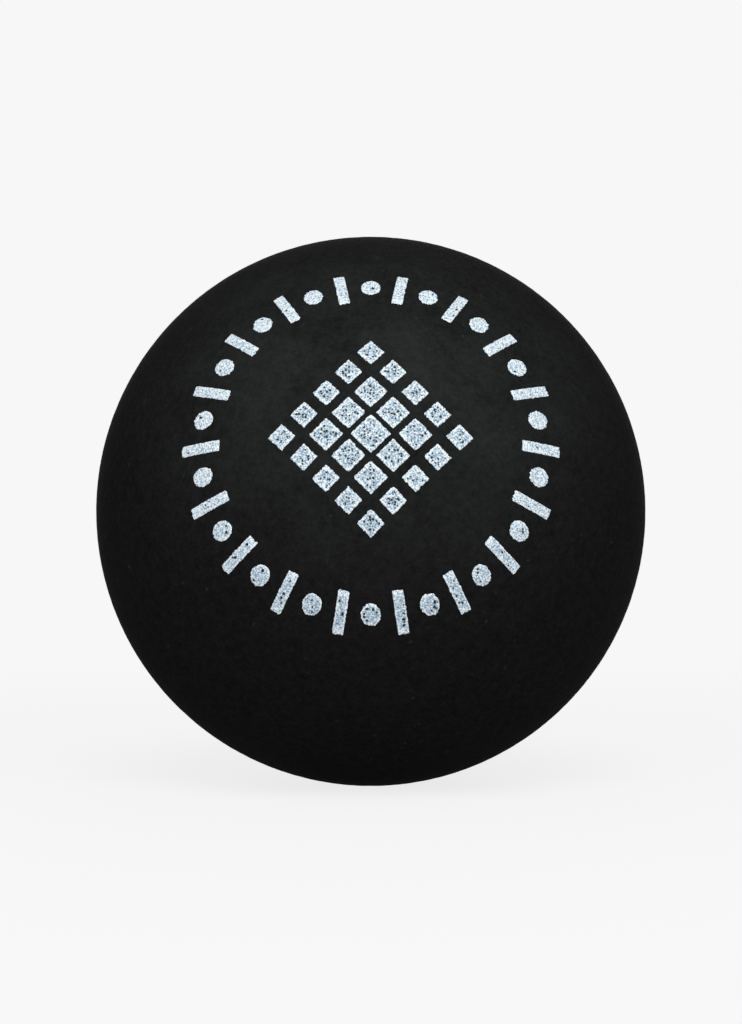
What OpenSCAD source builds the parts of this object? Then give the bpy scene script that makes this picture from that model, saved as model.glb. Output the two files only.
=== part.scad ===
// Squash ball: two moulded rubber half shells cemented rim to rim, stamped with ink.
// The origin is the ball's centre. The front half faces -Y and the seam lies in the plane y = 0.

/* [Ball] */
// Outside diameter of the ball
ball_d = 40; // [39.5:0.1:40.5]
// Thickness of the rubber wall
wall_t = 5; // [4:0.1:6]

/* [Seam] */
// Thickness of the cement between the rims of the two halves
film_t = 0.2; // [0.1:0.05:0.4]
// Bevel buffed on the inner edge of each rim
rim_bevel = 0.6; // [0.3:0.1:1.2]
// How far the squeezed-out cement stands into the hollow
bead_stand = 0.3; // [0.1:0.05:0.6]

/* [Stamped print] */
// Thickness of the dried ink
ink_t = 0.045; // [0.03:0.005:0.08]
// Angle by which the middle of the print looks up from the front
print_tilt = 15; // [0:1:30]
// Radius of the ring of marks at its outer edge
ring_r = 12.8; // [11:0.1:15]
// Number of bars in the ring, with a dot after each
ring_bars = 18; // [12:1:22]
// Length of a bar, along the ring's radius
bar_l = 2.6; // [1.5:0.1:3]
// Width of a bar
bar_w = 0.75; // [0.5:0.05:1]
// Diameter of a dot in the ring
dot_d = 1.3; // [0.8:0.1:1.5]

/* [Stamped lattice] */
// Number of squares along a side of the lattice
lattice_squares = 5; // [3:2:7]
// Distance between the centres of neighbouring squares
lattice_pitch = 2.1; // [2:0.05:2.2]
// Side of the square in the middle of the lattice
square_side = 1.9; // [1.6:0.05:1.95]
// How much the side shrinks from one ring of squares to the next
square_step = 0.3; // [0.1:0.05:0.4]

/* [Speed dot] */
// Diameter of the coloured dot on the back
speed_dot_d = 3.2; // [2.5:0.1:5]

/* [Hidden] */
$fn = 96;

ball_r = ball_d / 2;
hollow_r = ball_r - wall_t;
ink_r = ball_r + ink_t;
overrun = 1;

// The bead's round face passes through the mouth of the groove that the two bevels make
groove_half_w = film_t / 2 + rim_bevel;
bead_r = (groove_half_w * groove_half_w + bead_stand * bead_stand) / (2 * bead_stand);

front_turn = 90 - print_tilt;
back_turn = -90;

rubber = "#1c1d1e";
cement = "#3a3430";
white_ink = "#c8d5e0";
yellow_ink = "#e6c832";

// Profiles are drawn with x as the distance from the ball's axis and y as the distance from the seam plane

module wall_profile() {
    difference() {
        circle(r = ball_r);
        circle(r = hollow_r);
    }
}

module bevel_profile() {
    polygon([
        [hollow_r + rim_bevel, film_t / 2],
        [hollow_r - overrun, film_t / 2 + rim_bevel + overrun],
        [hollow_r - overrun, film_t / 2]
    ]);
}

module half_shell_profile() {
    difference() {
        intersection() {
            wall_profile();
            translate([0, film_t / 2]) square(ball_r);
        }
        bevel_profile();
    }
}

module film_profile() {
    intersection() {
        wall_profile();
        translate([0, -film_t / 2]) square([ball_r, film_t]);
    }
}

module bead_profile() {
    translate([hollow_r - bead_stand + bead_r, 0]) circle(r = bead_r);
}

// The film and its bead fill what the rims and their bevels leave open
module cement_profile() {
    difference() {
        union() {
            film_profile();
            bead_profile();
        }
        half_shell_profile();
        mirror([0, 1]) half_shell_profile();
    }
}

module half_shell() {
    rotate_extrude() half_shell_profile();
}

module ring_bar_shapes() {
    for (i = [0 : ring_bars - 1])
        rotate(i * 360 / ring_bars)
            translate([ring_r - bar_l, -bar_w / 2])
                square([bar_l, bar_w]);
}

module ring_dot_shapes() {
    for (i = [0 : ring_bars - 1])
        rotate((i + 1 / 2) * 360 / ring_bars)
            translate([ring_r - bar_l / 2, 0])
                circle(d = dot_d);
}

module lattice_shapes() {
    middle = (lattice_squares - 1) / 2;
    rotate(45)
        for (across = [-middle : middle], along = [-middle : middle])
            translate([across * lattice_pitch, along * lattice_pitch])
                square(square_side - max(abs(across), abs(along)) * square_step, center = true);
}

// A film of ink over the ball where a flat stamp, pressed straight towards its centre, touches it.
// The stamp's middle starts above the ball and is turned about X.
module stamped(turn) {
    intersection() {
        difference() {
            sphere(r = ink_r);
            sphere(r = ball_r);
        }
        rotate([turn, 0, 0])
            linear_extrude(height = ink_r + overrun)
                children();
    }
}

module front_half_shell() {
    color(rubber) rotate([90, 0, 0]) half_shell();
}

module back_half_shell() {
    color(rubber) rotate([-90, 0, 0]) half_shell();
}

module seam_cement() {
    color(cement) rotate([90, 0, 0]) rotate_extrude() cement_profile();
}

module printed_ring_bars() {
    color(white_ink) stamped(front_turn) ring_bar_shapes();
}

module printed_ring_dots() {
    color(white_ink) stamped(front_turn) ring_dot_shapes();
}

module printed_lattice() {
    color(white_ink) stamped(front_turn) lattice_shapes();
}

module speed_dot() {
    color(yellow_ink) stamped(back_turn) circle(d = speed_dot_d);
}

front_half_shell();
back_half_shell();
seam_cement();
printed_ring_bars();
printed_ring_dots();
printed_lattice();
speed_dot();
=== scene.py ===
import math

import bpy
import numpy as np
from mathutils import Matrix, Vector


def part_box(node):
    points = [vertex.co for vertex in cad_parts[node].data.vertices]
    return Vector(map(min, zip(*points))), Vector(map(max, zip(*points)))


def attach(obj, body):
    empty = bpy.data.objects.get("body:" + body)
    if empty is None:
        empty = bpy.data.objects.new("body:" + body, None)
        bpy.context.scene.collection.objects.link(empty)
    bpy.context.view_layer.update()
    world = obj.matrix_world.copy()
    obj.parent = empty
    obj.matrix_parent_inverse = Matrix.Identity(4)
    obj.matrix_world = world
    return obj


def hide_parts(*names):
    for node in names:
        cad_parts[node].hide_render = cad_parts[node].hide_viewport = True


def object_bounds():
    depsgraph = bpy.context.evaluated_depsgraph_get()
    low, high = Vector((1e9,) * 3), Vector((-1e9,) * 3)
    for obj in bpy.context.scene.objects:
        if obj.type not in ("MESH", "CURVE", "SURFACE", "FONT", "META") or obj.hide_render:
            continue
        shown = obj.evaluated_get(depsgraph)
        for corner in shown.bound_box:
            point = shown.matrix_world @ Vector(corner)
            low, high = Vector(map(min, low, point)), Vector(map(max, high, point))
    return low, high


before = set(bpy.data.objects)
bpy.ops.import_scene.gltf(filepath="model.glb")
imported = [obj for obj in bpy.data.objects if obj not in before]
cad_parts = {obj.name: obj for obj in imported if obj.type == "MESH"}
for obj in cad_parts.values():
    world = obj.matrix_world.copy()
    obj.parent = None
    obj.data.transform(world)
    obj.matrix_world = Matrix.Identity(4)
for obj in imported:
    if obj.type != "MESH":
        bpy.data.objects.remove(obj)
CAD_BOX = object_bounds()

bl_info = {
    "name": "Squash ball",
    "version": (1, 0, 0),
    "blender": (4, 5, 0),
    "location": "View3D > Sidebar > Squash ball",
    "description": "Builds the rubber, seam and stamped ink of a squash ball, and a pale studio round it",
    "category": "Object",
}

MM = 0.001
PHOTO_HEIGHT = 1024
# How far the ball's middle lies right of and above the photograph's middle, in pixels
BALL_RIGHT, BALL_UP = -0.2, 0.6
FILM_WIDTH = 36.0
# Where a Mix node that mixes colours keeps its two colours and its result
MIX_A, MIX_B, MIX_RESULT = 6, 7, 2
# Nearly all values of a noise texture lie between these two
NOISE_LOW, NOISE_HIGH = 0.3, 0.7
# Faces along each side of the grid that makes a half's dome, and rings of points over its hollow
DOME_SIDE = 256
HOLLOW_RINGS = 18
# Points round the seam, and across the bead of cement
SEAM_STEPS = 720
BEAD_STEPS = 9
# An edge that turns by more than this stays sharp
SHARP_ANGLE = math.radians(50)
# Plane waves in a random field, and the shortest and longest of them as shares of its spacing
WAVES = 28
SHORTEST_WAVE, LONGEST_WAVE = 0.7, 1.4
# How strongly the broad and the fine hollows shape the rubber
BROAD_WEIGHT, FINE_WEIGHT = 0.75, 0.5
# Where the rounding at the seam bends: this share of its width from the seam, and this share of its drop down
SHOULDER_IN, SHOULDER_SUNK = 1 / 3, 0.45
# How far the cement lies below the ball's surface, for each drop of the rims' edges
CEMENT_SUNK = 1.1
# How much of the patches, and of the blotches and grain, shows away from the painted highlight and where it
# is brightest
PATCH_SHOWS = 0.1, 1.3
SPECKLE_SHOWS = 0.7, 1.15
# What the scores take from the share of painted highlight and bloom and add to it, and the share of the
# buffed band that is scored most
SCORE_TAKES, SCORE_ADDS = 0.2, 0.42
SCORED_SHARE = 0.4
# The noise at which a speck of dust begins and at which it is full, and how much of the rubber it hides
SPECK_STARTS, SPECK_FULL, SPECK_HIDES = 0.72, 0.86, 0.14
# The powers for a mark's outline: a circle, and a rectangle with hardly softened corners
ROUND, SQUARE = 2, 24
# Steps round an outline to measure it, distance between its points, what their number is a multiple of, and
# rings of points inside it
OUTLINE_STEPS = 4000
INK_STEP = 0.05 * MM
INK_MULTIPLE = 8
INK_RINGS = 12
# Wavelengths of the ragged edge, and the weight of each
BROAD_STRAY, BROAD_STRAY_WEIGHT = 0.34 * MM, 0.5
FINE_STRAY, FINE_STRAY_WEIGHT = 0.15 * MM, 0.7
# The film's height as a share of the ink's, and how far from its edge it has mostly risen
FILM_HEIGHT, FILM_RISE = 0.8, 0.035 * MM
# The bead's height as a share of the ink's, how far it stands from the edge, and half its width
BEAD_HEIGHT, BEAD_INSET, BEAD_HALF = 0.16, 0.13 * MM, 0.08 * MM
# The ink is closed this near its edge, in millimetres
CLOSED_EDGE = 0.05
# Half the width of a pinhole's soft edge, in cells
PINHOLE_SOFT = 0.07
# How far a pinhole's outline is pulled out of round, in cells, and waves of that pull in a cell
PINHOLE_STRAY = 0.6
STRAY_WAVES = 2
# The noise at which the film is thinnest, and at which it is full
FILM_GONE, FILM_FULL = 0.31, 0.57
# How much thinner the film is everywhere, with a pinhole in every cell, and at the stamp's lower end, on the
# scale of that noise; and how many times as much that takes off the ink on the tops of the grain
FILM_THIN = 0.015
FILM_WORN = 0.07
LOW_END_THIN = 0.09
TOPS_THIN = 1.2
# How much more of the print is open at the stamp's lower end, and the heights where that end begins and
# where it is fully so, in radii of the ball
LOW_END_OPEN = 0.34
LOW_END_STARTS, LOW_END_FULL = 0.1, -0.4
# How near the ball the paper is lit, and how far from it the paper is even, in radii of the ball
PAPER_LIT, PAPER_EVEN = 3, 9
# Corners of the floor's outline
FLOOR_CORNERS = 64
# Where the random draws of each piece start, and how many seeds each patch of ink has
FRONT_SEED, BACK_SEED = 11, 21
BARS_SEED, DOTS_SEED, LATTICE_SEED, SPEED_DOT_SEED = 1000, 2000, 3000, 4000
PATCH_SEEDS = 10


def linear(code):
    """An sRGB colour written as #rrggbb, as linear red, green, blue and an alpha of 1."""
    shares = np.array([int(code[i : i + 2], 16) for i in (1, 3, 5)]) / 255
    light = np.where(shares <= 0.04045, shares / 12.92, ((shares + 0.055) / 1.055) ** 2.4)
    return (*light.tolist(), 1.0)


def cad_points(node):
    """The vertices of a CAD node, one row each."""
    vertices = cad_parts[node].data.vertices
    points = np.empty(len(vertices) * 3, np.float32)
    vertices.foreach_get("co", points)
    return points.reshape(-1, 3).astype(float)


def print_tilt():
    """How far the print looks up: half way between the lattice's highest and lowest corners."""
    points = cad_points("printed_lattice")
    heights = np.arctan2(points[:, 2], -points[:, 1])
    return float(heights.max() + heights.min()) / 2


SHELL_DISTANCES = np.linalg.norm(cad_points("front_half_shell"), axis=1)
CEMENT = cad_points("seam_cement")
BALL_R = float(SHELL_DISTANCES.max())
# The CAD ball has flat facets, so its box is a little smaller than the ball on some sides
SKIN_R = min(*CAD_BOX[1], *(-CAD_BOX[0]))
HOLLOW_R = float(SHELL_DISTANCES.min())
SEAM_W = -2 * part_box("front_half_shell")[1].y
BEAD_HALF_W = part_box("seam_cement")[1].y
BEAD_STAND = HOLLOW_R - float(np.hypot(CEMENT[:, 0], CEMENT[:, 2]).min())
INK_T = float(np.linalg.norm(cad_points("printed_ring_bars"), axis=1).max()) - BALL_R
RING_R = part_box("printed_ring_bars")[1].x
SPEED_DOT_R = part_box("speed_dot")[1].x


def length(name, description, default):
    """A length that a user may change."""
    return bpy.props.FloatProperty(name=name, description=description, default=default, min=0, unit="LENGTH")


def share(name, description, default):
    """A share between none and all that a user may change."""
    return bpy.props.FloatProperty(
        name=name, description=description, default=default, min=0, max=1, subtype="FACTOR"
    )


def turn_by(name, description, degrees):
    """An angle that a user may change, given in degrees."""
    return bpy.props.FloatProperty(
        name=name, description=description, default=math.radians(degrees), subtype="ANGLE"
    )


def colour(name, description, code):
    """A colour that a user may change, given as sRGB."""
    return bpy.props.FloatVectorProperty(
        name=name, description=description, default=linear(code), size=4, min=0, max=1, subtype="COLOR"
    )


class RubberSettings(bpy.types.PropertyGroup):
    """The two half shells and the seam between them."""

    relief: length("Relief", "Depth of the hollows that the buffing leaves in the rubber", 0.014 * MM)
    broad_hollows: length("Broad hollows", "Distance from one broad hollow to the next", 0.9 * MM)
    fine_hollows: length("Fine hollows", "Distance from one fine hollow to the next", 0.42 * MM)
    edge: length("Edge", "Width of the rounding that buffing gives the rims at the seam", 0.12 * MM)
    edge_drop: length("Edge drop", "How far that rounding sinks at the seam", 0.02 * MM)
    buffed_w: length("Buffed band", "Width of the band along the seam that is buffed once more", 3.0 * MM)
    # The first colour is the rubber away from the painted highlight and the grey bloom, the second where both
    # are full
    dark: colour("Rubber", "The rubber where it is cleanest", "#161616")
    bloom_and_highlight: colour("Bloom", "The rubber under its grey bloom", "#222323")
    # The middle, reach, top and width shape a painted highlight high on the front, the same on the back
    painted_highlight_middle: bpy.props.FloatVectorProperty(
        name="Bloom middle", description="The way from the ball's centre to the thickest bloom",
        default=(0.023, -0.874, 0.485), subtype="DIRECTION",
    )
    painted_highlight_reach: turn_by("Bloom reach", "How far above and below its middle the bloom ends", 60.5)
    painted_highlight_top: turn_by("Bloom top", "How far from there the bloom is thickest", 1.4)
    painted_highlight_wide: bpy.props.FloatProperty(
        name="Bloom width", description="How many times as wide as high the bloom is", default=1.4, min=0.1,
    )
    patches: length("Patches", "Distance from one large patch of bloom to the next", 4.4 * MM)
    blotches: length("Blotches", "Distance from one small blotch of bloom to the next", 0.6 * MM)
    # The real grain is about 0.07 mm; it is drawn more than three times as coarse, so that it shows
    grains: length("Grains", "Distance from one grain of the rubber to the next", 0.24 * MM)
    pit_depth: length("Pit depth", "Depth of the pits between the grains", 0.02 * MM)
    patch_shift: bpy.props.FloatVectorProperty(
        name="Patch shift", description="Moves the large patches to another place",
        default=(-53 * MM, 56 * MM, 7 * MM), subtype="TRANSLATION", unit="LENGTH",
    )
    clouds: share("Clouds", "How much the bloom varies in patches", 0.43)
    blotchy: share("Blotchiness", "How much the bloom varies in blotches", 0.25)
    grain: share("Grain", "How much the bloom varies from grain to grain", 0.25)
    scores: length("Scores", "Length of the scores that the buffing wheel leaves along the seam", 6 * MM)
    score_gap: length("Score gap", "Distance from one score to the next", 0.15 * MM)
    specks: length("Specks", "Distance between places where a speck may lie", 0.5 * MM)
    dust: colour("Dust", "Pale specks of dust and talc", "#63666a")
    cement: colour("Cement", "The dried rubber cement in the seam", "#0e0d0d")


class PrintSettings(bpy.types.PropertyGroup):
    """The stamped marks."""

    tilt: turn_by("Tilt", "How far the print looks up", math.degrees(print_tilt()))
    ring_r: length("Ring radius", "Outer edge of the ring, from the print's axis", RING_R)
    ring_bars: bpy.props.IntProperty(
        name="Bars", description="Bars in the ring, with a dot after each", default=18, min=1
    )
    bar_l: length("Bar length", "Length of a bar along the ring's radius", 2.6 * MM)
    bar_w: length("Bar width", "Width of a bar", 0.75 * MM)
    dot_d: length("Dot", "Diameter of a dot in the ring", 1.3 * MM)
    lattice_squares: bpy.props.IntProperty(
        name="Squares", description="Squares along a side of the lattice", default=5, min=1
    )
    lattice_pitch: length("Pitch", "Distance between neighbouring squares' centres", 2.1 * MM)
    square_side: length("Square", "Side of the middle square", 1.9 * MM)
    square_step: length("Step", "How much smaller each ring of squares is", 0.3 * MM)
    ragged: length("Ragged edge", "How far the ink's edge strays from its outline", 0.024 * MM)
    flecks: length("Flecks", "Distance from one fleck of thin ink to the next", 0.115 * MM)
    pinholes: length("Pinholes", "Distance between places where a pinhole may be", 0.205 * MM)
    ring_open: share("Ring pinholes", "Share of those places with a pinhole in the ring", 0.055)
    ring_largest: share("Ring's largest pinhole", "Its radius, as a share of the places' distance", 0.6)
    ring_rim: length("Ring's rim", "Width of the closed rim of a bar or dot", 0.16 * MM)
    lattice_open: share("Lattice pinholes", "Share of those places with a pinhole in the lattice", 0.95)
    lattice_largest: share(
        "Lattice's largest pinhole", "Its radius, as a share of the places' distance", 0.485
    )
    lattice_rim: length("Lattice's rim", "Width of the closed rim of a square", 0.28 * MM)
    dot_open: share("Speed dot pinholes", "Share of those places with a pinhole in the speed dot", 0.1)
    white: colour("White ink", "The ink of the print", "#eaf4f9")
    thin_white: colour("Thin white ink", "The print where the black shows through", "#7f98ab")
    yellow: colour("Yellow ink", "The ink of the speed dot", "#ecc92a")
    thin_yellow: colour("Thin yellow ink", "The speed dot where the black shows through", "#c9a51c")
    pinhole: colour("Pinhole", "The rubber in a pinhole, with a trace of ink on it", "#182530")


class StageSettings(bpy.types.PropertyGroup):
    """The floor, the lamps and the camera.

    A lamp's light is how bright it makes a white card that faces it.
    """

    paper: colour("Paper", "The studio paper under and behind the ball", "#f7f7f7")
    paper_bounce: colour("Bounce", "The paper as it throws the lamps' light back on the ball", "#dcdcdc")
    floor_r: length("Floor", "Radius of the paper", 3.0)
    shadow: share("Shadow", "How much of the paper's light is the lamps', which the ball shades", 0.16)
    evened: share("Evened", "What the lit paper shows besides, to be as pale as the ground behind", 0.16)
    key: share("Key", "Light of the large lamp in front", 0.8)
    key_height: turn_by("Key height", "How high the large lamp stands", 34)
    key_side: turn_by("Key side", "How far to the right the large lamp stands", 3)
    back: share("Back", "Light of the lamp behind", 0.35)
    back_height: turn_by("Back height", "How high the lamp behind stands", 8)
    fill: share("Fill", "Light of the room all round", 0.35)
    lamp_w: length("Lamp width", "Diameter of each lamp", 0.56)
    lamp_distance: length("Lamp distance", "From the ball to each lamp", 0.6)
    lens: bpy.props.FloatProperty(
        name="Lens", description="Focal length on full frame", default=100, unit="CAMERA"
    )
    ball_pixels: bpy.props.FloatProperty(
        name="Ball", description="The ball's radius in the photograph", default=274.8, subtype="PIXEL"
    )


SETTINGS = (RubberSettings, PrintSettings, StageSettings)


def add_node(tree, kind, inputs=None, output=0, **settings):
    """Adds a node with its settings, and returns one of its outputs.

    An input that is given another node's output is linked to it, and any other is set to what it is given.
    """
    node = tree.nodes.new(kind)
    for name, setting in settings.items():
        setattr(node, name, setting)
    for name, value in (inputs or {}).items():
        if isinstance(value, bpy.types.NodeSocket):
            tree.links.new(value, node.inputs[name])
        else:
            node.inputs[name].default_value = value
    return node.outputs[output] if node.outputs else node


def new_material(name):
    """An empty node material and its tree."""
    material = bpy.data.materials.new(name)
    material.use_nodes = True
    material.node_tree.nodes.clear()
    return material, material.node_tree


def highlight_and_bloom_share(tree, place, settings):
    """How much of the lighter rubber shows, from 0 to 1 and a bit beyond: painted highlight and grey bloom.

    The painted highlight is lightest round its middle, high on the front where the large lamp's broad
    reflection falls, and ends at its reach, as a smooth step of the angle between the two. The angle is taken
    on a ball that is squeezed sideways, so the painted highlight is wider than high. It is the same on the
    back. Large patches, small blotches and single grains of grey bloom make it cloudy, most where the painted
    highlight is strong.
    """
    squeezed = add_node(
        tree, "ShaderNodeMapping", {"Vector": place, "Scale": (1 / settings.painted_highlight_wide, 1.0, 1.0)}
    )
    outwards = add_node(tree, "ShaderNodeVectorMath", {0: squeezed}, operation="NORMALIZE")
    right, forward, up = settings.painted_highlight_middle
    front, back = (
        add_node(tree, "ShaderNodeVectorMath", {0: outwards, 1: middle}, "Value", operation="DOT_PRODUCT")
        for middle in ((right, forward, up), (right, -forward, up))
    )
    towards = add_node(tree, "ShaderNodeMath", {0: front, 1: back}, operation="MAXIMUM")
    away = add_node(tree, "ShaderNodeMath", {0: towards}, operation="ARCCOSINE")
    # Painted highlight: lighter rubber round the middle, standing in for the large lamp's broad reflection
    bloom_and_highlight = add_node(
        tree, "ShaderNodeMapRange",
        {"Value": away, "From Min": settings.painted_highlight_reach, "From Max": settings.painted_highlight_top},
        interpolation_type="SMOOTHSTEP",
    )
    shifted = add_node(tree, "ShaderNodeMapping", {"Vector": place, "Location": settings.patch_shift})
    # Where each layer reads its noise, its spacing, detail and roughness, and how much it varies the bloom
    layers = (
        (shifted, settings.patches, 5.0, 0.64, settings.clouds),
        (place, settings.blotches, 2.0, 0.6, settings.blotchy),
        (place, settings.grains, 1.0, 0.6, settings.grain),
    )
    varied = []
    for where, spacing, detail, roughness, amount in layers:
        noise = add_node(
            tree, "ShaderNodeTexNoise",
            {"Vector": where, "Scale": 1 / spacing, "Detail": detail, "Roughness": roughness},
        )
        noise = add_node(
            tree, "ShaderNodeMapRange",
            {"Value": noise, "From Min": NOISE_LOW, "From Max": NOISE_HIGH,
             "To Min": -amount, "To Max": amount},
        )
        varied.append(noise)
    patch, blotch, grain = varied
    least, most = PATCH_SHOWS
    visible = add_node(tree, "ShaderNodeMapRange", {"Value": bloom_and_highlight, "To Min": least, "To Max": most})
    patchy = add_node(tree, "ShaderNodeMath", {0: patch, 1: visible, 2: bloom_and_highlight}, operation="MULTIPLY_ADD")
    least, most = SPECKLE_SHOWS
    visible = add_node(tree, "ShaderNodeMapRange", {"Value": bloom_and_highlight, "To Min": least, "To Max": most})
    speckle = add_node(tree, "ShaderNodeMath", {0: blotch, 1: grain}, operation="ADD")
    return add_node(tree, "ShaderNodeMath", {0: speckle, 1: visible, 2: patchy}, operation="MULTIPLY_ADD")


def buffed_rubber(settings):
    """Butyl rubber filled with carbon black, compression moulded and then tumbled until it is matt.

    The eye sees near-black with a painted highlight, a broad lighter lobe high on the front and the same on
    the back, under a thin grey bloom that is cloudy everywhere, a fine grain, a few pale specks of dust, and
    no mirror in it, because the torn skin scatters what it reflects. Along the seam the buffing wheel leaves
    fine scores.
    """
    material, tree = new_material("buffed butyl rubber")
    place = add_node(tree, "ShaderNodeTexCoord", output="Object")
    bloom_and_highlight = highlight_and_bloom_share(tree, place, settings)
    apart = add_node(tree, "ShaderNodeSeparateXYZ", {0: place}, "Y")
    apart = add_node(tree, "ShaderNodeMath", {0: apart}, operation="ABSOLUTE")
    half_band = settings.buffed_w / 2
    band = add_node(
        tree, "ShaderNodeMapRange",
        {"Value": apart, "From Min": half_band, "From Max": half_band * SCORED_SHARE},
        interpolation_type="SMOOTHSTEP",
    )
    thinner = settings.scores / settings.score_gap
    drawn_out = add_node(tree, "ShaderNodeMapping", {"Vector": place, "Scale": (1.0, thinner, 1.0)})
    scores = add_node(
        tree, "ShaderNodeTexNoise",
        {"Vector": drawn_out, "Scale": 1 / settings.scores, "Detail": 3.0, "Roughness": 0.6},
    )
    scores = add_node(
        tree, "ShaderNodeMapRange",
        {"Value": scores, "From Min": NOISE_LOW, "From Max": NOISE_HIGH,
         "To Min": -SCORE_TAKES, "To Max": SCORE_ADDS},
    )
    cover = add_node(tree, "ShaderNodeMath", {0: band, 1: scores, 2: bloom_and_highlight}, operation="MULTIPLY_ADD")
    # The rubber is mixed towards the lighter colour by the painted highlight, the grey bloom and the scores
    rubber = add_node(
        tree, "ShaderNodeMix", {0: cover, MIX_A: settings.dark, MIX_B: settings.bloom_and_highlight}, MIX_RESULT,
        data_type="RGBA", clamp_factor=False,
    )
    specks = add_node(
        tree, "ShaderNodeTexNoise",
        {"Vector": place, "Scale": 1 / settings.specks, "Detail": 1.0, "Roughness": 0.5},
    )
    specks = add_node(
        tree, "ShaderNodeMapRange",
        {"Value": specks, "From Min": SPECK_STARTS, "From Max": SPECK_FULL, "To Max": SPECK_HIDES},
    )
    dusty = add_node(
        tree, "ShaderNodeMix", {0: specks, MIX_A: rubber, MIX_B: settings.dust}, MIX_RESULT, data_type="RGBA"
    )
    pitted = add_node(
        tree, "ShaderNodeTexNoise",
        {"Vector": place, "Scale": 1 / settings.grains, "Detail": 2.0, "Roughness": 0.6},
    )
    bump = add_node(
        tree, "ShaderNodeBump", {"Height": pitted, "Strength": 0.6, "Distance": settings.pit_depth}
    )
    surface = add_node(
        tree, "ShaderNodeBsdfPrincipled",
        {"Base Color": dusty, "Normal": bump, "Roughness": 0.9, "Specular IOR Level": 0.004, "IOR": 1.52,
         "Sheen Weight": 0.003, "Sheen Roughness": 0.4},
    )
    add_node(tree, "ShaderNodeOutputMaterial", {"Surface": surface})
    return material


def rubber_cement(settings):
    """Dried rubber solution, squeezed out of the seam and buffed off with the rubber: darker and smoother."""
    material, tree = new_material("dried rubber cement")
    surface = add_node(
        tree, "ShaderNodeBsdfPrincipled",
        {"Base Color": settings.cement, "Roughness": 0.7, "Specular IOR Level": 0.01, "IOR": 1.52},
    )
    add_node(tree, "ShaderNodeOutputMaterial", {"Surface": surface})
    return material


def stamping_ink(name, ink, thin, turn, pressing, settings):
    """Flexible solvent ink put down by a rubber stamp: thin, matt and full of pinholes where it missed.

    The stamp squeezes ink to a mark's edge, so its rim is white and closed. Inwards the film is speckled:
    full ink on the tops of the rubber's grain, a thin film in its hollows, and round pinholes where there
    is none. The stamp's plane is divided into cells, and the open share of them have a pinhole, as large as
    the largest or smaller, by the cell's random number. Towards the stamp's lower end the film is thinner
    and more cells are open, so the print is darker there. How a mark was pressed gives the open share, the
    largest pinhole's radius in cells and the width of the rim.
    """
    open_share, largest, rim = pressing
    material, tree = new_material(name)
    place = add_node(tree, "ShaderNodeTexCoord", output="Object")
    inset = add_node(tree, "ShaderNodeAttribute", output="Fac", attribute_name="inset")
    inside = add_node(
        tree, "ShaderNodeMapRange", {"Value": inset, "From Min": CLOSED_EDGE, "From Max": rim / MM},
        interpolation_type="SMOOTHSTEP",
    )
    flecks = add_node(
        tree, "ShaderNodeTexNoise",
        {"Vector": place, "Scale": 1 / settings.flecks, "Detail": 1.0, "Roughness": 0.5},
    )
    worn = FILM_THIN + FILM_WORN * open_share
    height = add_node(tree, "ShaderNodeSeparateXYZ", {0: place}, "Z")
    low = {"Value": height, "From Min": LOW_END_STARTS * BALL_R, "From Max": LOW_END_FULL * BALL_R}
    thinness = add_node(
        tree, "ShaderNodeMapRange", {**low, "To Min": worn, "To Max": worn + LOW_END_THIN}
    )
    thinness = add_node(tree, "ShaderNodeMath", {0: thinness, 1: inside}, operation="MULTIPLY")
    flecks = add_node(tree, "ShaderNodeMath", {0: flecks, 1: thinness}, operation="SUBTRACT")
    tops = add_node(tree, "ShaderNodeMath", {0: thinness, 1: -TOPS_THIN, 2: 1.0}, operation="MULTIPLY_ADD")
    film = add_node(
        tree, "ShaderNodeMapRange",
        {"Value": flecks, "From Min": FILM_GONE, "From Max": FILM_FULL, "To Max": tops},
    )
    body = add_node(
        tree, "ShaderNodeMix", {0: film, MIX_A: thin, MIX_B: ink}, MIX_RESULT, data_type="RGBA"
    )
    opened = add_node(
        tree, "ShaderNodeMapRange", {**low, "To Min": open_share, "To Max": open_share + LOW_END_OPEN}
    )
    stray = add_node(
        tree, "ShaderNodeTexNoise",
        {"Vector": place, "Scale": STRAY_WAVES / settings.pinholes, "Detail": 0.0}, "Color",
    )
    strayed = add_node(
        tree, "ShaderNodeVectorMath", {0: stray, 1: [settings.pinholes * PINHOLE_STRAY] * 3, 2: place},
        operation="MULTIPLY_ADD",
    )
    stamp = add_node(tree, "ShaderNodeMapping", {"Vector": strayed, "Rotation": (-turn, 0.0, 0.0)})
    middle = add_node(
        tree, "ShaderNodeTexVoronoi", {"Vector": stamp, "Scale": 1 / settings.pinholes, "Randomness": 0.9},
        "Distance", voronoi_dimensions="2D",
    )
    chance = add_node(tree, "ShaderNodeSeparateColor", {"Color": middle.node.outputs["Color"]}, "Red")
    closed = add_node(tree, "ShaderNodeMath", {0: chance, 1: opened}, operation="DIVIDE")
    radius = add_node(tree, "ShaderNodeMath", {0: inside, 1: closed}, operation="SUBTRACT")
    cover = add_node(
        tree, "ShaderNodeMath", {0: radius, 1: -largest, 2: middle}, operation="MULTIPLY_ADD"
    )
    cover = add_node(
        tree, "ShaderNodeMapRange", {"Value": cover, "From Min": -PINHOLE_SOFT, "From Max": PINHOLE_SOFT}
    )
    mixed = add_node(
        tree, "ShaderNodeMix", {0: cover, MIX_A: settings.pinhole, MIX_B: body}, MIX_RESULT, data_type="RGBA"
    )
    surface = add_node(
        tree, "ShaderNodeBsdfPrincipled", {"Base Color": mixed, "Roughness": 0.65, "Specular IOR Level": 0.15}
    )
    add_node(tree, "ShaderNodeOutputMaterial", {"Surface": surface})
    return material


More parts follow.
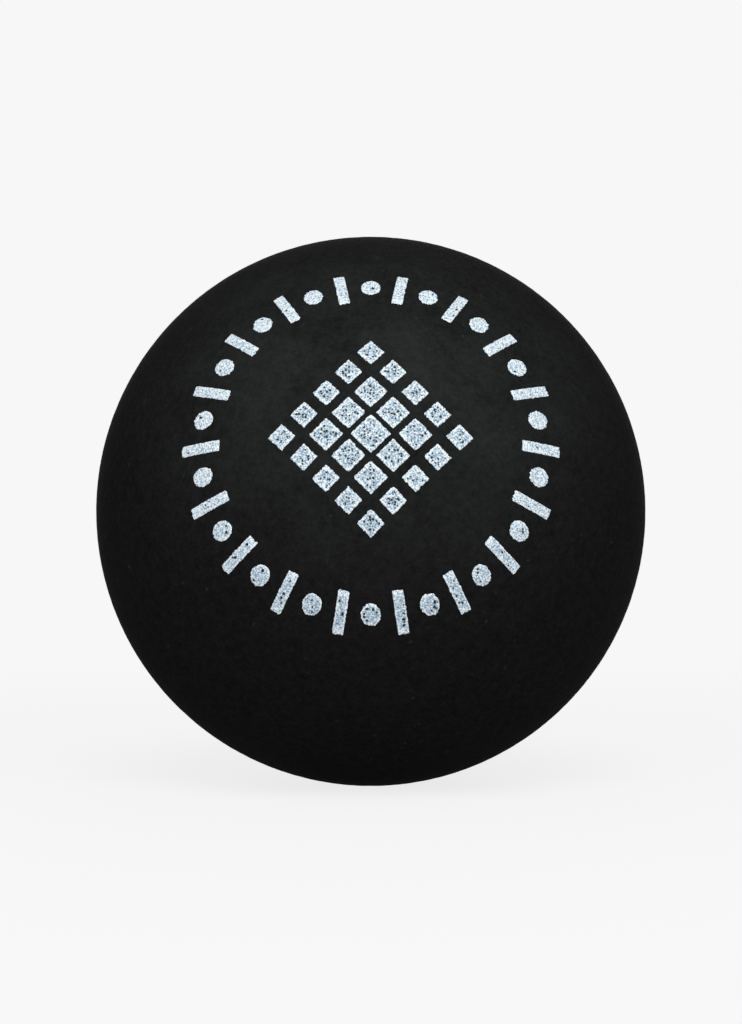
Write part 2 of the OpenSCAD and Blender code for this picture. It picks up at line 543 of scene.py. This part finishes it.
def seen_ray(tree):
    """Whether a ray comes from the camera, from a reflection or through something clear: 1 or 0."""
    camera = add_node(tree, "ShaderNodeLightPath", output="Is Camera Ray")
    rays = camera.node.outputs
    seen = add_node(tree, "ShaderNodeMath", {0: camera, 1: rays["Is Glossy Ray"]}, operation="MAXIMUM")
    return add_node(tree, "ShaderNodeMath", {0: seen, 1: rays["Is Transmission Ray"]}, operation="MAXIMUM")


def studio_paper(settings):
    """Matt white background paper.

    Near the ball it is part lit and part even, so that the ball's shadow shows on it. The lit part is
    evened out, to be as pale as the rest. Further out the paper is even, like the ground behind, so that no
    edge shows where it ends. From underneath the camera sees through it.
    """
    material, tree = new_material("matt background paper")
    place = add_node(tree, "ShaderNodeTexCoord", output="Object")
    distance = add_node(tree, "ShaderNodeVectorMath", {0: place}, "Value", operation="LENGTH")
    near = add_node(
        tree, "ShaderNodeMapRange",
        {"Value": distance, "From Min": PAPER_EVEN * BALL_R, "From Max": PAPER_LIT * BALL_R,
         "To Max": settings.shadow},
        interpolation_type="SMOOTHSTEP",
    )
    even = add_node(tree, "ShaderNodeEmission", {"Color": settings.paper})
    bounce = add_node(tree, "ShaderNodeBsdfDiffuse", {"Color": settings.paper_bounce})
    lit = add_node(tree, "ShaderNodeBsdfDiffuse", {"Color": settings.paper})
    evened = add_node(tree, "ShaderNodeEmission", {"Color": settings.paper, "Strength": settings.evened})
    lit = add_node(tree, "ShaderNodeAddShader", {0: lit, 1: evened})
    seen = add_node(tree, "ShaderNodeMixShader", {"Fac": near, 1: even, 2: lit})
    above = add_node(tree, "ShaderNodeMixShader", {"Fac": seen_ray(tree), 1: bounce, 2: seen})
    back = add_node(tree, "ShaderNodeNewGeometry", output="Backfacing")
    camera = add_node(tree, "ShaderNodeLightPath", output="Is Camera Ray")
    below = add_node(tree, "ShaderNodeMath", {0: back, 1: camera}, operation="MULTIPLY")
    clear = add_node(tree, "ShaderNodeBsdfTransparent")
    whole = add_node(tree, "ShaderNodeMixShader", {"Fac": below, 1: above, 2: clear})
    add_node(tree, "ShaderNodeOutputMaterial", {"Surface": whole})
    return material


def cloud(points, spacing, seed):
    """A smooth random field over points in space, with unit variance.

    The sum of plane waves with random directions and phases, and wavelengths round the spacing.
    """
    draw = np.random.default_rng(seed)
    directions = draw.normal(size=(3, WAVES))
    directions /= np.linalg.norm(directions, axis=0)
    turns = 2 * np.pi / (spacing * draw.uniform(SHORTEST_WAVE, LONGEST_WAVE, WAVES))
    phases = draw.uniform(0, 2 * np.pi, WAVES)
    return np.sin(points @ (directions * turns) + phases).sum(axis=1) * math.sqrt(2 / WAVES)


def ring_faces(rings):
    """Four-sided faces between closed rings of vertex numbers, one ring a row, from first to last."""
    beside = np.roll(rings, -1, axis=1)
    corners = (rings[:-1], rings[1:], beside[1:], beside[:-1])
    return np.stack(corners, axis=-1).reshape(-1, 4).tolist()


def opening_fan(centre, ring):
    """Triangles from one vertex out to a closed ring."""
    return np.stack([np.full_like(ring, centre), ring, np.roll(ring, -1)], axis=-1).tolist()


def closing_fan(ring, centre):
    """Triangles from a closed ring in to one vertex."""
    return np.stack([ring, np.full_like(ring, centre), np.roll(ring, -1)], axis=-1).tolist()


def make_piece(name, points, faces, material, nodes, attributes=None):
    """Makes a mesh that rides on the ball, stands for CAD nodes and is smooth but for its sharp edges."""
    mesh = bpy.data.meshes.new(name)
    mesh.from_pydata(points, [], faces, shade_flat=False)
    for attribute, values in (attributes or {}).items():
        layer = mesh.attributes.new(attribute, "FLOAT", "POINT")
        layer.data.foreach_set("value", np.asarray(values, np.float32))
    mesh.set_sharp_from_angle(angle=SHARP_ANGLE)
    mesh.materials.append(material)
    mesh.validate()
    piece = bpy.data.objects.new(name, mesh)
    bpy.context.scene.collection.objects.link(piece)
    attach(piece, "root")
    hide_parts(*nodes)
    return piece


def turned(points, turn):
    """Points in a frame whose third axis looks up, turned about X to face as the half or the stamp does."""
    right, up, out = points.T
    cos, sin = math.cos(turn), math.sin(turn)
    return np.stack([right, cos * up - sin * out, sin * up + cos * out], axis=-1)


def turned_in_plane(points, angle):
    """Points of the stamp's plane, turned anticlockwise."""
    cos, sin = math.cos(angle), math.sin(angle)
    return points @ np.array([[cos, sin], [-sin, cos]])


def rings_of(profile, azimuth):
    """A ring of points at each azimuth for each radius and height of a profile, one ring a row."""
    radius, height = profile[:, :1], profile[:, 1:]
    level = np.repeat(height, len(azimuth), axis=1)
    return np.stack([radius * np.cos(azimuth), radius * np.sin(azimuth), level], axis=-1)


def domed_grid(side_faces, reach):
    """Points of a dome of radius 1 that leans out to the angle reach, from a square grid, and its faces.

    Each of the square's nested outlines becomes a circle, and a circle's distance from the middle sets its
    angle so that all faces have about the same area.
    """
    steps = np.linspace(-1, 1, side_faces + 1)
    across, along = (g.ravel() for g in np.meshgrid(steps, steps))
    wide = np.abs(across) > np.abs(along)
    distance = np.where(wide, across, along)
    share = np.where(wide, along, across) / np.where(distance == 0, 1, distance)
    azimuth = np.where(wide, share * np.pi / 4, np.pi / 2 - share * np.pi / 4)
    height = 1 - distance**2 * (1 - math.cos(reach))
    radius = np.sign(distance) * np.sqrt(1 - height**2)
    points = np.stack([radius * np.cos(azimuth), radius * np.sin(azimuth), height], axis=-1)
    numbers = np.arange((side_faces + 1) ** 2).reshape(side_faces + 1, -1)
    corners = (numbers[:-1, :-1], numbers[:-1, 1:], numbers[1:, 1:], numbers[1:, :-1])
    faces = np.stack(corners, axis=-1).reshape(-1, 4).tolist()
    edge = np.concatenate([numbers[0, :-1], numbers[:-1, -1], numbers[-1, :0:-1], numbers[:0:-1, 0]])
    return points, faces, edge


def half_shell(name, node, turn, settings, rubber, seed):
    """One half of the ball: a domed grid outside, then rings over the rim and its bevel to the hollow's pole.

    The dome sinks from the ball's radius by the relief times a random field squeezed between 0 and 1.
    """
    seam = SEAM_W / 2
    reach = math.acos((seam + settings.edge) / BALL_R)
    dome, faces, edge = domed_grid(DOME_SIDE, reach)
    skin = turned(dome, turn) * BALL_R
    field = BROAD_WEIGHT * cloud(skin, settings.broad_hollows, seed)
    field = field + FINE_WEIGHT * cloud(skin, settings.fine_hollows, seed + 1)
    dome = dome * (SKIN_R - settings.relief * (0.5 + 0.5 * np.tanh(field)))[:, None]
    azimuth = np.arctan2(dome[edge, 1], dome[edge, 0])
    bevel = BEAD_HALF_W - seam
    mouth = math.acos(BEAD_HALF_W / HOLLOW_R)
    low = seam + settings.edge * SHOULDER_IN
    shoulder = math.sqrt(SKIN_R**2 - low**2) - settings.edge_drop * SHOULDER_SUNK
    rim = [(shoulder, low), (SKIN_R - settings.edge_drop, seam), (HOLLOW_R + bevel, seam)]
    leans = np.linspace(mouth, 0, HOLLOW_RINGS)[:-1]
    inside = HOLLOW_R * np.stack([np.sin(leans), np.cos(leans)], axis=-1)
    rings = rings_of(np.vstack([rim, inside]), azimuth)
    numbers = np.vstack([edge, len(dome) + np.arange(rings[..., 0].size).reshape(len(rings), -1)])
    points = np.vstack([dome, rings.reshape(-1, 3), [[0, 0, HOLLOW_R]]])
    pole = len(points) - 1
    faces += ring_faces(numbers) + closing_fan(numbers[-1], pole)
    return make_piece(name, turned(points, turn), faces, rubber, [node])


def outline_radius(angle, half_l, half_w, power):
    """Distance from a shape's middle to its outline in a direction.

    The outline is where the two shares of the half sizes, raised to the power, add up to 1.
    """
    return (np.abs(np.cos(angle) / half_l) ** power + np.abs(np.sin(angle) / half_w) ** power) ** (-1 / power)


def even_angles(half_l, half_w, power, count):
    """Angles at which points on the outline lie at even distances along it."""
    fine = np.linspace(0, 2 * np.pi, OUTLINE_STEPS + 1)
    radius = outline_radius(fine, half_l, half_w, power)
    steps = np.hypot(*np.diff([radius * np.cos(fine), radius * np.sin(fine)]))
    walked = np.concatenate([[0], np.cumsum(steps)])
    return np.interp(np.arange(count) / count * walked[-1], walked, fine)


def ink_patch(half_l, half_w, power, middle, angle, settings, seed, first):
    """One patch of ink on the stamp's plane, with its vertices numbered from the first on.

    It has rings of points out from its middle, a skirt down and a flat underside. The edge strays from its
    outline by a random field. The ink stands highest in a bead just inside its edge, where the stamp
    squeezes it, falls to nothing at the edge and sags a little in the middle.
    """
    spokes = int(round(4 * (half_l + half_w) / INK_STEP / INK_MULTIPLE)) * INK_MULTIPLE
    shares = np.sin(np.linspace(0, np.pi / 2, INK_RINGS + 1))[1:]
    bearing = even_angles(half_l, half_w, power, spokes)
    radius = outline_radius(bearing, half_l, half_w, power)
    cos, sin = np.cos(bearing), np.sin(bearing)
    edge = np.stack([radius * cos, radius * sin, np.zeros(spokes)], axis=-1)
    stray = BROAD_STRAY_WEIGHT * cloud(edge, BROAD_STRAY, seed)
    stray = stray + FINE_STRAY_WEIGHT * cloud(edge, FINE_STRAY, seed + 1)
    reach = radius + settings.ragged * stray
    across = shares[:, None] * reach * cos
    along = shares[:, None] * reach * sin
    inset = (1 - shares)[:, None] * np.minimum(half_w, radius)
    bead = np.exp(-(((inset - BEAD_INSET) / BEAD_HALF) ** 2))
    lift = INK_T * (FILM_HEIGHT * (1 - np.exp(-inset / FILM_RISE)) + BEAD_HEIGHT * bead)
    flat = np.stack([across, along, lift], axis=-1).reshape(-1, 3)
    skirt = np.stack([across[-1], along[-1], np.full(spokes, -INK_T)], axis=-1)
    points = np.vstack([[[0, 0, INK_T * FILM_HEIGHT]], flat, skirt, [[0, 0, -INK_T]]])
    points[:, :2] = turned_in_plane(points[:, :2], angle) + middle
    insets = np.concatenate([[half_w], inset.ravel(), np.zeros(spokes + 1)])
    rings = first + 1 + np.arange((len(shares) + 1) * spokes).reshape(-1, spokes)
    last = first + len(points) - 1
    faces = opening_fan(first, rings[0]) + ring_faces(rings) + closing_fan(rings[-1], last)
    return points, faces, insets


def ink_piece(name, node, shapes, turn, material, settings, seed):
    """A piece of ink made of patches, laid over the ball along the stamp's axis.

    A point of the stamp's plane keeps its distance from the axis and takes the ball's height there, then
    moves out from the ball's centre by its lift. Each point keeps how far in from its mark's edge it lies.
    """
    points, faces, insets = [], [], []
    first = 0
    for number, shape in enumerate(shapes):
        patch = ink_patch(*shape, settings, seed + PATCH_SEEDS * number, first)
        points.append(patch[0])
        faces += patch[1]
        insets.append(patch[2])
        first += len(patch[0])
    flat = np.vstack(points)
    height = np.sqrt(BALL_R**2 - flat[:, 0] ** 2 - flat[:, 1] ** 2)
    on_ball = np.stack([flat[:, 0], flat[:, 1], height], axis=-1) * (1 + flat[:, 2] / BALL_R)[:, None]
    return make_piece(
        name, turned(on_ball, turn), faces, material, [node], {"inset": np.concatenate(insets) / MM}
    )


class HalfShells(bpy.types.Operator):
    """Builds the two rubber halves, with the fine relief that buffing leaves"""

    bl_idname = "squash_ball.half_shells"
    bl_label = "Half shells"

    def execute(self, context):
        settings = context.scene.ball_rubber
        rubber = buffed_rubber(settings)
        turn = math.pi / 2
        half_shell("front_half_rubber", "front_half_shell", turn, settings, rubber, FRONT_SEED)
        half_shell("back_half_rubber", "back_half_shell", -turn, settings, rubber, BACK_SEED)
        return {"FINISHED"}


class SeamCement(bpy.types.Operator):
    """Builds the ring of cement between the rims, with its bead in the hollow.

    The bead's section is the arc of a circle that ends at the bevels and stands out of the wall in the middle
    """

    bl_idname = "squash_ball.seam_cement"
    bl_label = "Seam cement"

    def execute(self, context):
        settings = context.scene.ball_rubber
        seam = SEAM_W / 2
        bevel = BEAD_HALF_W - seam
        swing = 2 * math.atan2(BEAD_STAND, BEAD_HALF_W)
        bead_r = BEAD_HALF_W / math.sin(swing)
        arc = np.linspace(-swing, swing, BEAD_STEPS)
        stand = HOLLOW_R - BEAD_STAND + bead_r * (1 - np.cos(arc))
        bead = np.stack([stand, bead_r * np.sin(arc)], axis=-1)
        inner, outer = HOLLOW_R + bevel, BALL_R - settings.edge_drop * CEMENT_SUNK
        film = [[inner, seam], [outer, seam], [outer, -seam], [inner, -seam]]
        points = rings_of(np.vstack([film, bead]), np.linspace(0, 2 * np.pi, SEAM_STEPS, endpoint=False))
        numbers = np.arange(points[..., 0].size).reshape(len(points), -1)
        faces = ring_faces(np.vstack([numbers, numbers[:1]]))
        make_piece(
            "seam_cement_ring", turned(points.reshape(-1, 3), math.pi / 2), faces,
            rubber_cement(settings), ["seam_cement"],
        )
        return {"FINISHED"}


class RingPrint(bpy.types.Operator):
    """Stamps the ring of bars and dots"""

    bl_idname = "squash_ball.ring_print"
    bl_label = "Ring print"

    def execute(self, context):
        settings = context.scene.ball_print
        turn = math.pi / 2 - settings.tilt
        ink = stamping_ink(
            "white flexible stamping ink", settings.white, settings.thin_white, turn,
            (settings.ring_open, settings.ring_largest, settings.ring_rim), settings,
        )
        spread = 2 * np.pi / settings.ring_bars
        place = np.array([settings.ring_r - settings.bar_l / 2, 0])
        bars, dots = [], []
        for number in range(settings.ring_bars):
            angle = number * spread
            between = angle + spread / 2
            bar = (settings.bar_l / 2, settings.bar_w / 2, SQUARE, turned_in_plane(place, angle), angle)
            dot = (settings.dot_d / 2, settings.dot_d / 2, ROUND, turned_in_plane(place, between), between)
            bars.append(bar)
            dots.append(dot)
        ink_piece("ring_bar_ink", "printed_ring_bars", bars, turn, ink, settings, BARS_SEED)
        ink_piece("ring_dot_ink", "printed_ring_dots", dots, turn, ink, settings, DOTS_SEED)
        return {"FINISHED"}


class LatticePrint(bpy.types.Operator):
    """Stamps the lattice of squares in the middle of the ring"""

    bl_idname = "squash_ball.lattice_print"
    bl_label = "Lattice print"

    def execute(self, context):
        settings = context.scene.ball_print
        middle = (settings.lattice_squares - 1) / 2
        angle = math.pi / 4
        squares = []
        for number in range(settings.lattice_squares**2):
            steps = np.array(divmod(number, settings.lattice_squares)) - middle
            half = (settings.square_side - np.abs(steps).max() * settings.square_step) / 2
            place = turned_in_plane(steps, angle) * settings.lattice_pitch
            squares.append((half, half, SQUARE, place, angle))
        turn = math.pi / 2 - settings.tilt
        ink = stamping_ink(
            "white flexible stamping ink, lightly pressed", settings.white, settings.thin_white, turn,
            (settings.lattice_open, settings.lattice_largest, settings.lattice_rim), settings,
        )
        ink_piece("lattice_ink", "printed_lattice", squares, turn, ink, settings, LATTICE_SEED)
        return {"FINISHED"}


class SpeedDot(bpy.types.Operator):
    """Stamps the coloured dot on the back"""

    bl_idname = "squash_ball.speed_dot"
    bl_label = "Speed dot"

    def execute(self, context):
        settings = context.scene.ball_print
        turn = -math.pi / 2
        ink = stamping_ink(
            "yellow flexible stamping ink", settings.yellow, settings.thin_yellow, turn,
            (settings.dot_open, settings.lattice_largest, settings.ring_rim), settings,
        )
        dot = (SPEED_DOT_R, SPEED_DOT_R, ROUND, np.zeros(2), 0)
        ink_piece("speed_dot_ink", "speed_dot", [dot], turn, ink, settings, SPEED_DOT_SEED)
        return {"FINISHED"}


def softbox(scene, name, azimuth, elevation, light):
    """A round lamp that looks at the ball, turned from the front about the upright and raised by two angles.

    A round lamp of power P and radius r at a distance d lights a white card that faces it to
    P / (pi^2 (r^2 + d^2)).
    """
    distance = scene.ball_stage.lamp_distance
    lamp = bpy.data.lights.new(name, "AREA")
    lamp.shape = "DISK"
    lamp.size = scene.ball_stage.lamp_w
    lamp.energy = light * math.pi**2 * ((lamp.size / 2) ** 2 + distance**2)
    box = bpy.data.objects.new(name, lamp)
    scene.collection.objects.link(box)
    box.rotation_euler = (math.pi / 2 - elevation, 0, azimuth)
    out, up = math.cos(elevation), math.sin(elevation)
    box.location = np.array([math.sin(azimuth) * out, -math.cos(azimuth) * out, up]) * distance
    box.visible_camera = False


class Stage(bpy.types.Operator):
    """Sets up the pale floor, the lamps, the world and the camera"""

    bl_idname = "squash_ball.stage"
    bl_label = "Stage"

    def execute(self, context):
        scene = context.scene
        settings = scene.ball_stage
        around = np.linspace(0, 2 * np.pi, FLOOR_CORNERS, endpoint=False)
        level = np.full(FLOOR_CORNERS, CAD_BOX[0].z)
        across, along = settings.floor_r * np.cos(around), settings.floor_r * np.sin(around)
        corners = np.stack([across, along, level], axis=-1)
        mesh = bpy.data.meshes.new("floor")
        mesh.from_pydata(corners, [], [range(FLOOR_CORNERS)])
        mesh.materials.append(studio_paper(settings))
        floor = bpy.data.objects.new("floor", mesh)
        scene.collection.objects.link(floor)

        softbox(scene, "key", settings.key_side, settings.key_height, settings.key)
        softbox(scene, "back", math.pi, settings.back_height, settings.back)

        world = scene.world or bpy.data.worlds.new("studio")
        scene.world = world
        world.use_nodes = True
        tree = world.node_tree
        tree.nodes.clear()
        room = add_node(tree, "ShaderNodeBackground", {"Strength": settings.fill})
        ground = add_node(tree, "ShaderNodeBackground", {"Color": settings.paper, "Strength": 1.0})
        both = add_node(tree, "ShaderNodeMixShader", {"Fac": seen_ray(tree), 1: room, 2: ground})
        add_node(tree, "ShaderNodeOutputWorld", {"Surface": both})

        camera = bpy.data.cameras.new("camera")
        camera.lens = settings.lens
        camera.sensor_width = FILM_WIDTH
        pixels_to_film = settings.lens / camera.sensor_width * PHOTO_HEIGHT
        distance = BALL_R / math.sin(math.atan(settings.ball_pixels / pixels_to_film))
        eye = bpy.data.objects.new("camera", camera)
        scene.collection.objects.link(eye)
        pixel = distance / pixels_to_film
        eye.location = (-BALL_RIGHT * pixel, -distance, -BALL_UP * pixel)
        eye.rotation_euler = (math.pi / 2, 0, 0)
        camera.clip_start = 0.01
        camera.clip_end = 20.0
        scene.camera = eye
        scene.view_settings.view_transform = "Standard"
        return {"FINISHED"}


OPERATORS = (HalfShells, SeamCement, RingPrint, LatticePrint, SpeedDot, Stage)


class SquashBallPanel(bpy.types.Panel):
    """Lists the steps that build the ball"""

    bl_idname = "VIEW3D_PT_squash_ball"
    bl_label = "Squash ball"
    bl_space_type = "VIEW_3D"
    bl_region_type = "UI"
    bl_category = "Squash ball"

    def draw(self, context):
        for operator in OPERATORS:
            self.layout.operator(operator.bl_idname)


CLASSES = (*SETTINGS, *OPERATORS, SquashBallPanel)


def register():
    """Adds the settings, the operators and the panel to Blender."""
    for part in CLASSES:
        bpy.utils.register_class(part)
    bpy.types.Scene.ball_rubber = bpy.props.PointerProperty(type=RubberSettings)
    bpy.types.Scene.ball_print = bpy.props.PointerProperty(type=PrintSettings)
    bpy.types.Scene.ball_stage = bpy.props.PointerProperty(type=StageSettings)


def unregister():
    """Takes them away again."""
    del bpy.types.Scene.ball_stage
    del bpy.types.Scene.ball_print
    del bpy.types.Scene.ball_rubber
    for part in reversed(CLASSES):
        bpy.utils.unregister_class(part)


def main():
    """Builds every piece and the stage."""
    register()
    bpy.ops.squash_ball.half_shells()
    bpy.ops.squash_ball.seam_cement()
    bpy.ops.squash_ball.ring_print()
    bpy.ops.squash_ball.lattice_print()
    bpy.ops.squash_ball.speed_dot()
    bpy.ops.squash_ball.stage()


if __name__ == "__main__":
    main()
